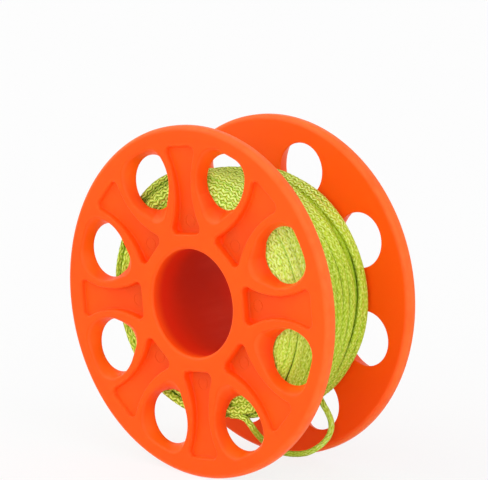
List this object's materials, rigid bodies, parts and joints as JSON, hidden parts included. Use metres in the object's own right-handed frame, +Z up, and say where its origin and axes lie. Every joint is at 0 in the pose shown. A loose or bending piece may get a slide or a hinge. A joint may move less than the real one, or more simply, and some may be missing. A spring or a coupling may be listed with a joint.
{
  "type": "finger spool",
  "caption": "Finger spool for a diving or fishing line: two round flanges with dished holes and pockets on a hub with a wide finger bore, wound with braided line, one slack loop hanging out.",
  "frame": {"origin": "centre of the finger bore, midway between the outer faces of the two flanges", "axes": "+Y along the spool's axis, from the front flange to the rear flange; +Z up as the spool stands on its rims"},
  "size_m": [0.098, 0.038, 0.098],
  "materials": {
    "orange_plastic": "satin, as moulded",
    "braided_line": "braided, fluorescent yellow-green"
  },
  "bodies": {
    "root": {"front_half": "orange_plastic", "rear_half": "orange_plastic", "line_inner_layers": "braided_line", "line_outer_turns": "braided_line", "line_free_loop": "braided_line"}
  },
  "joints": []
}
